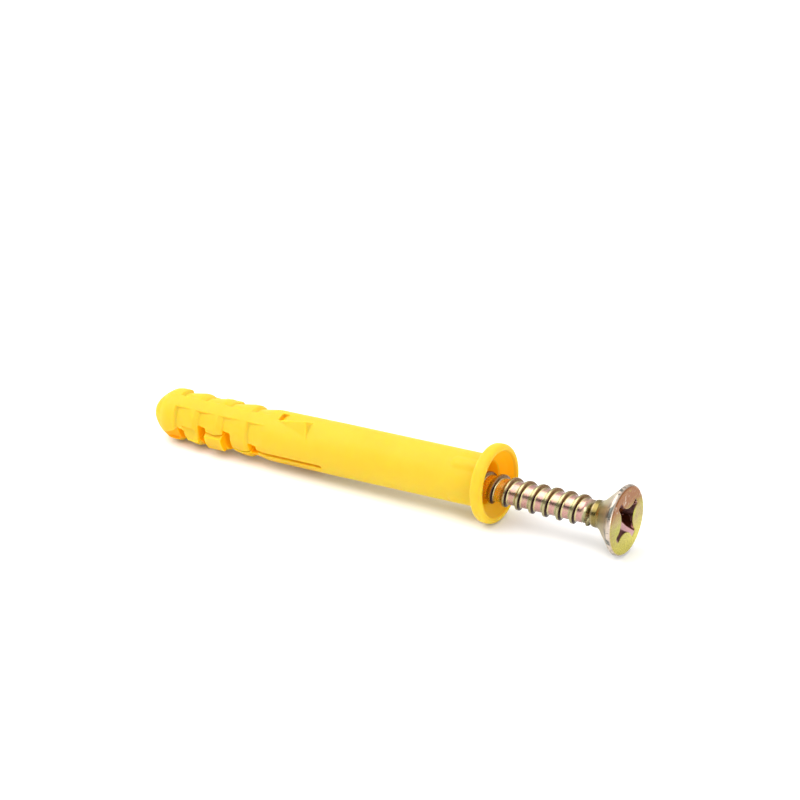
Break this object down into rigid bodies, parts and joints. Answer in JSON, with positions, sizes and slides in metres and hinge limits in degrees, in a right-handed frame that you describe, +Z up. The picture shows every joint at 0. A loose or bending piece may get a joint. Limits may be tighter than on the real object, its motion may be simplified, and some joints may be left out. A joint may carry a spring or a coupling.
{
  "type": "plastic expansion anchor",
  "caption": "Collared plastic expansion sleeve with saw teeth, slits and anti-rotation fins, holding a countersunk cross-recess screw pushed part of the way in.",
  "frame": {"origin": "on the surface that the anchor lies on, below the middle of its whole length", "axes": "+X along the anchor towards the screw's head, +Z up, +Y to the left seen from the nose"},
  "size_m": [0.0808, 0.0118, 0.0119],
  "materials": {
    "sleeve_plastic": "moulded, satin",
    "zinc_steel": "yellow zinc plated, bright"
  },
  "bodies": {
    "root": {"sleeve": "sleeve_plastic", "screw": "zinc_steel"}
  },
  "joints": []
}
